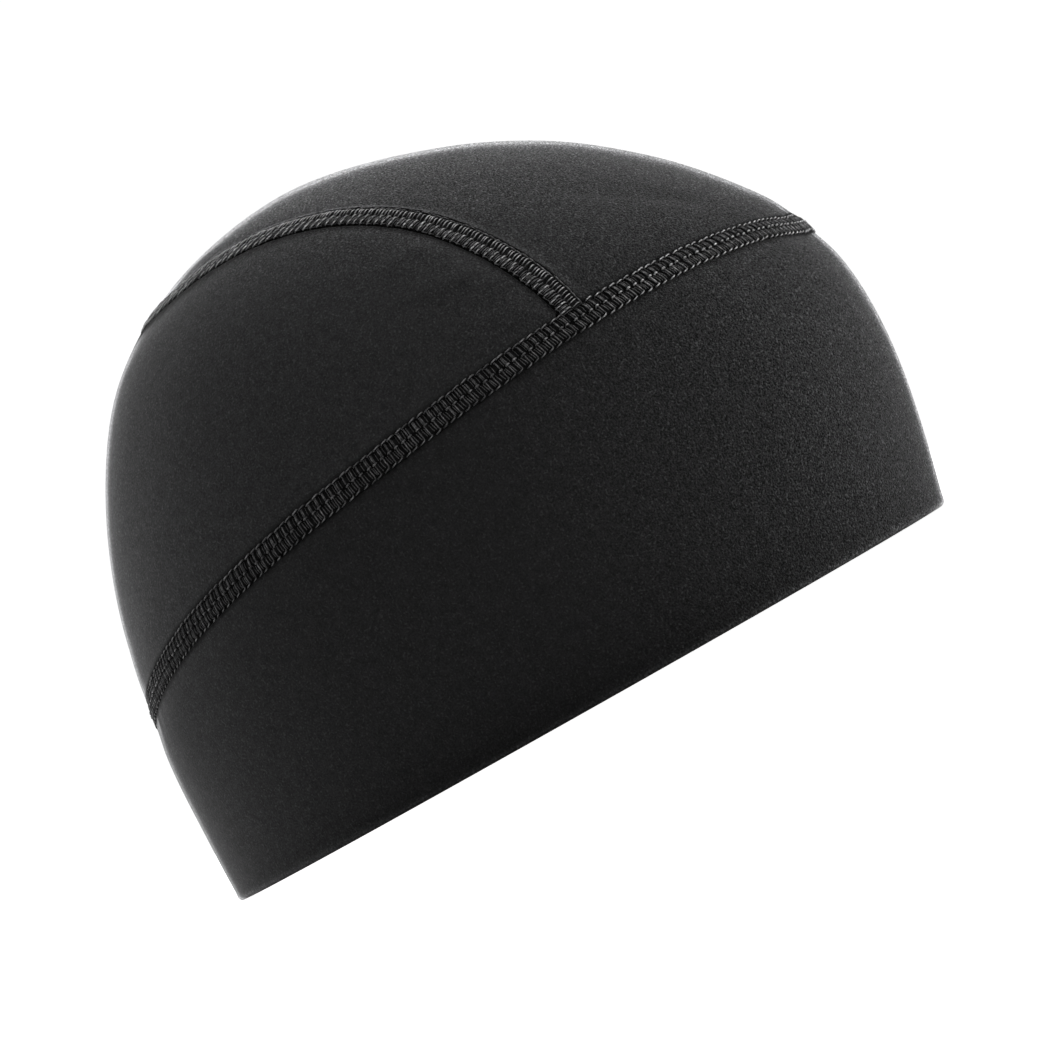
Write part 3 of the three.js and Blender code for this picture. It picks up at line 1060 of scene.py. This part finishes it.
def stripPiece(name, sheet, startFor, settings, pitch):
    # the folded cloth under the stitches; startFor gives where it begins for each offset
    length = sheet["run"][-1]
    offsets, lifts = np.array(settings["profile"], float).T
    position = np.linspace(0, len(offsets) - 1, stripSet["rows"])
    across = np.interp(position, np.arange(len(offsets)), offsets)
    columns = int(round(length / pitch)) * stripSet["stepsPerStitch"]
    share = np.linspace(0, 1, columns + 1)
    starts = np.array([startFor(offset) for offset in across])[:, None]
    run = starts + (length - 2 * starts) * share
    inner = 1 - np.abs(across / across[-1])[:, None] ** 4
    wave = np.cos(2 * math.pi * (run / pitch + stripSet["barTurn"]))
    lift = np.interp(across, offsets, lifts)[:, None] + stripSet["hollow"] * (wave - 1) * inner
    edge, middle, hollow = stripSet["underside"]
    under = -hatSet["cloth"] + edge - middle * inner - hollow * wave * inner
    places = np.broadcast_to(across[:, None], run.shape)
    outer = onSheet(sheet, run, places, lift)[0]
    innerFace = onSheet(sheet, run, places, under)[0]
    uv = np.stack([run, places], -1)
    piece = wallMesh(name, outer, innerFace, uv, sheet["closed"], seamClothMaterial)
    # painted shade in the hollows between the cross threads and along the dark lines; stripPale makes the
    # strip paler
    dark = (1 - wave) * readTable(settings["hollowDark"], outer[..., 1])
    for line in settings["darkLines"]:
        dark = dark + stripSet["lineDark"] * bellAt(places, line, stripSet["lineWidth"])
    pale = readTable(settings["stripPale"], outer[..., 1])
    paintedLightShade = np.where(pale > dark, pale - dark, -np.minimum(dark - pale, stripSet["darkest"]))
    if sheet["closed"]:
        paintedLightShade = paintedLightShade[:, :-1]
    setPaintedLightShade(piece, np.concatenate([paintedLightShade, paintedLightShade]))
    return piece


# the seams' stitches, by the columns of thread(); a table holds millimetres behind the middle of the hat
# and the value there
insideSet = {
    "sides": 4,
    "paleness": 0.6,
    "slant": 0,
    "unevenness": 1,
    "threads": [
        thread(0.16, 0.4, 4, (0, 2.4, -2.1), (0.5, 2.5, -2.35), (1, 2.4, -2.1)),
        thread(0.16, 0.4, 4, (0, 0, -2.25), (0.5, 0.1, -2.5), (1, 0, -2.25)),
        thread(0.16, 0.4, 4, (0, -2.4, -2.1), (0.5, -2.5, -2.35), (1, -2.4, -2.1)),
        thread(0.13, 0.2, 3, (0.1, 2.4, -2.1), (0.35, 1.2, -2.3), (0.6, 0, -2.4)),
        thread(0.13, 0.2, 3, (0.6, 0, -2.4), (0.85, -1.2, -2.3), (1.1, -2.4, -2.1)),
    ],
}

bandSeamSet = {
    "seed": 41,
    "sides": 5,
    "pitch": 2.05,
    # painted highlight: how pale the threads are, from the front of the hat to its rear
    "paleness": [(-80, 1.9), (-70, 1.8), (-58, 0.6), (-40, 0.36), (50, 0.32), (90, 0.8)],
    "slant": 0,
    "unevenness": [(-75, 0.8), (-50, 2.2), (90, 2.2)],
    "stripPale": 0,
    # painted shade in the strip's hollows
    "hollowDark": [(-75, 0.36), (-50, 0.2), (90, 0.2)],
    "darkLines": (2.25, 0.15, -2.45),
    # the folded cloth's profile, from the lower edge up: millimetres across and off the cloth
    "profile": [
        (-2.85, -0.45), (-2.55, 0), (-1.9, 0.2), (-1, 0.26), (-0.4, 0.05), (0.1, 0.2),
        (0.9, 0.26), (1.7, 0.2), (2.2, -0.08), (2.6, 0), (2.85, -0.4),
    ],
    "threads": [
        # chain of dashes along the upper edge, left out where the crown seam comes in
        thread(0.15, 1, 7, (0.06, 2.56, -0.1), (0.2, 2.64, 0.22), (0.5, 2.76, 0.34), (0.8, 2.88, 0.24),
               (0.98, 2.92, -0.1), broken=True),
        # two cover threads side by side across the upper half, and a finer one between the pairs
        thread(0.15, 0.42, 5, (0.34, 2.3, 0.1), (0.39, 1.7, 0.38), (0.43, 1, 0.44), (0.46, 0.35, 0.35)),
        thread(0.14, 0.3, 5, (0.5, 2.3, 0.1), (0.54, 1.7, 0.38), (0.58, 1, 0.44), (0.6, 0.35, 0.35)),
        thread(0.09, 0.2, 4, (0.92, 2.25, 0), (0.97, 1.5, 0.25), (1, 0.8, 0.25), (1.02, 0.3, 0.1)),
        # knot in the middle
        thread(0.19, 1.45, 6, (0.28, -0.02, 0.2), (0.42, 0.02, 0.6), (0.6, 0.08, 0.62), (0.74, 0.16, 0.2)),
        # cover thread across the lower half, two finer threads, and its hook along the lower edge
        thread(0.14, 0.6, 5, (0.5, -0.05, 0.45), (0.54, -0.8, 0.48), (0.6, -1.7, 0.44), (0.67, -2.5, 0.35)),
        thread(0.11, 0.25, 4, (0.8, -0.35, 0.15), (0.88, -1, 0.36), (0.97, -1.7, 0.36), (1.05, -2.3, 0.15)),
        thread(0.11, 0.25, 4, (0.14, -0.35, 0.15), (0.22, -1, 0.36), (0.31, -1.7, 0.36), (0.39, -2.3, 0.15)),
        thread(0.15, 0.98, 7, (0.66, -2.4, 0.3), (0.66, -2.64, 0.4), (0.48, -2.82, 0.38), (0.22, -2.92, 0.24),
               (0, -2.98, -0.1)),
    ],
}

crownSeamSet = {
    "seed": 51,
    "sides": 5,
    "halfWidth": 2.9,
    "startUnder": 1,  # the stitches start a little under the band seam's
    "pitch": 1.83,
    # painted highlight: how pale the threads are, from the front of the hat to its rear
    "paleness": [(-65, 1.2), (-30, 1.4), (0, 1.8), (40, 2)],
    "slant": [(-60, 0), (-20, 0.2), (0, 0.55), (40, 0.8)],
    "unevenness": 1.6,
    "stripPale": [(0, 0), (40, 0.05)],
    # painted shade in the strip's hollows
    "hollowDark": [(-60, 0.34), (0, 0.4), (40, 0.45)],
    "darkLines": (2.35, -2.45),
    "profile": [
        (-2.8, -0.45), (-2.5, 0), (-1.8, 0.22), (-0.9, 0.26), (-0.2, 0.2), (0.25, 0.1), (0.6, 0.14),
        (1.1, 0.24), (1.8, 0.24), (2.35, 0.1), (2.8, -0.4),
    ],
    "threads": [
        # thin line along the outer edge
        thread(0.12, 0.4, 5, (0, 2.5, 0.1), (0.25, 2.53, 0.26), (0.5, 2.52, 0.28), (0.75, 2.5, 0.26),
               (1.02, 2.5, 0.1)),
        # short threads across the outer third, thick and thin by turns
        thread(0.13, 1.5, 6, (0.12, 2.25, 0), (0.13, 1.8, 0.44), (0.14, 1.15, 0.48), (0.15, 0.1, 0.15)),
        thread(0.115, 1.2, 6, (0.62, 2.25, 0), (0.63, 1.8, 0.44), (0.64, 1.15, 0.48), (0.65, 0.1, 0.15)),
        # thick dash, and the thin end that it runs out into
        thread(0.17, 1, 6, (0.56, 0.05, 0.1), (0.54, -0.3, 0.54), (0.49, -0.95, 0.56), (0.45, -1.5, 0.3)),
        thread(0.14, 1.3, 6, (0.47, -1.1, 0.3), (0.45, -1.6, 0.42), (0.42, -2.2, 0.44), (0.38, -2.85, 0.1)),
        # fine threads beside the dash
        thread(0.11, 0.45, 5, (0.08, 0, 0.05), (0.05, -0.6, 0.3), (0, -1.4, 0.32), (-0.04, -2.3, 0.1)),
        thread(0.09, 0.25, 5, (0.3, -0.1, 0), (0.28, -0.7, 0.26), (0.24, -1.5, 0.28), (0.2, -2.3, 0.1)),
        thread(0.09, 0.25, 5, (0.8, -0.1, 0), (0.78, -0.7, 0.26), (0.74, -1.5, 0.28), (0.7, -2.3, 0.1)),
        # scallops along the inner edge
        thread(0.11, 0.25, 7, (0.1, -2.35, 0), (0.3, -2.58, 0.3), (0.5, -2.66, 0.32), (0.7, -2.58, 0.3),
               (0.9, -2.35, 0)),
    ],
}


def seamPieces(name, sheet, settings, pitch, startFor, runs, gaps):
    seed = settings["seed"]
    strip = stripPiece(name + "Strip", sheet, startFor, settings, pitch)
    covers = threadPiece(name + "Stitches", sheet, settings, pitch, runs, gaps, seed)
    inside = threadPiece(name + "InnerStitches", sheet, insideSet, pitch, runs, (), seed + 1)
    return strip, covers, inside


def makeBandSeam():
    sheet = bandSeamSheet()
    length = sheet["run"][-1]
    pitch = length / round(length / bandSeamSet["pitch"])
    meeting = float(turnOf(crownSeamSpot(np.array(crownSeamStart(0, 0)), 0)))
    meetingRun = np.interp(meeting, np.linspace(0, 2 * math.pi, len(sheet["run"])), sheet["run"])
    gaps = (meetingRun, length - meetingRun)
    return seamPieces("bandSeam", sheet, bandSeamSet, pitch, lambda offset: 0, (0, length), gaps)


def makeCrownSeam():
    sheet = crownSeamSheet()

    def startFor(offset):
        return crownSeamStart(-offset, panelSet["edgeAbove"])

    halfWidth = crownSeamSet["halfWidth"]
    first = max(startFor(-halfWidth), startFor(halfWidth)) - crownSeamSet["startUnder"]
    runs = (first, sheet["run"][-1] - first)
    return seamPieces("crownSeam", sheet, crownSeamSet, crownSeamSet["pitch"], startFor, runs, ())


for pieces, node in ((makeBandSeam(), "band_seam"), (makeCrownSeam(), "crown_seam")):
    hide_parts(node)
    for piece in pieces:
        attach(piece, "root")
print("seams made")

# floor, light and background
stageSet = {
    "floorRadius": 12,
    "floorColour": (0.9, 0.9, 0.9),
    "floorLift": 0.85,  # light that only the camera sees, so that the floor stays pale to its horizon
    "floorDrop": 0.00002,
    "background": 1.05,  # the white that the camera sees, and the light that it gives
    "ambient": 0,
    # turn round the hat and height in degrees, strength and the lamp's apparent size in degrees
    "lamps": {
        "frontLamp": (5, 8, 2.1, 50),
        "sideLamp": (30, 8, 0.68, 50),
        "farTopLamp": (110, 70, 1.04, 50),
        "highRearLamp": (170, 40, 1.31, 50),
        "rearLamp": (165, 8, 0.51, 50),
    },
}


def makeFloor():
    material, tree, shader = newMaterial("paleFloor", {"Roughness": 0.9, "Specular IOR Level": 0.1})
    feed(tree, shader.inputs["Base Color"], stageSet["floorColour"])
    feed(tree, shader.inputs["Emission Color"], (1, 1, 1))
    seen = newNode(tree, "LightPath").outputs["Is Camera Ray"]
    feed(tree, shader.inputs["Emission Strength"], times(tree, seen, stageSet["floorLift"]))
    around = np.linspace(0, 2 * math.pi, 128, endpoint=False)
    rim = np.stack([np.cos(around), np.sin(around), 0 * around], -1) * stageSet["floorRadius"]
    mesh = bpy.data.meshes.new("paleFloor")
    mesh.from_pydata(rim.tolist(), [], [list(range(len(rim)))])
    mesh.materials.append(material)
    floor = addObject("paleFloor", mesh)
    floor.location.z = -stageSet["floorDrop"]


def makeLamps():
    for name, (turn, height, strength, size) in stageSet["lamps"].items():
        data = bpy.data.lights.new(name, "SUN")
        data.energy = strength
        data.angle = math.radians(size)
        lamp = addObject(name, data)
        lamp.rotation_mode = "QUATERNION"
        away = awayFrom(math.radians(turn), math.radians(height))
        lamp.rotation_quaternion = away.to_track_quat("Z", "Y")


def makeBackground():
    world = bpy.data.worlds.new("studio")
    world.use_nodes = True
    tree = world.node_tree
    tree.nodes.clear()
    mixed = [newNode(tree, "LightPath").outputs["Is Camera Ray"]]
    for label in ("ambient", "background"):
        white = newNode(tree, "Background", [("Color", (1, 1, 1)), ("Strength", stageSet[label])])
        mixed.append(white.outputs[0])
    mix = newNode(tree, "MixShader", enumerate(mixed))
    newNode(tree, "OutputWorld", [("Surface", mix.outputs[0])])
    bpy.context.scene.world = world


makeFloor()
makeLamps()
makeBackground()
bpy.context.scene.view_settings.view_transform = "Standard"
print("stage and light made")
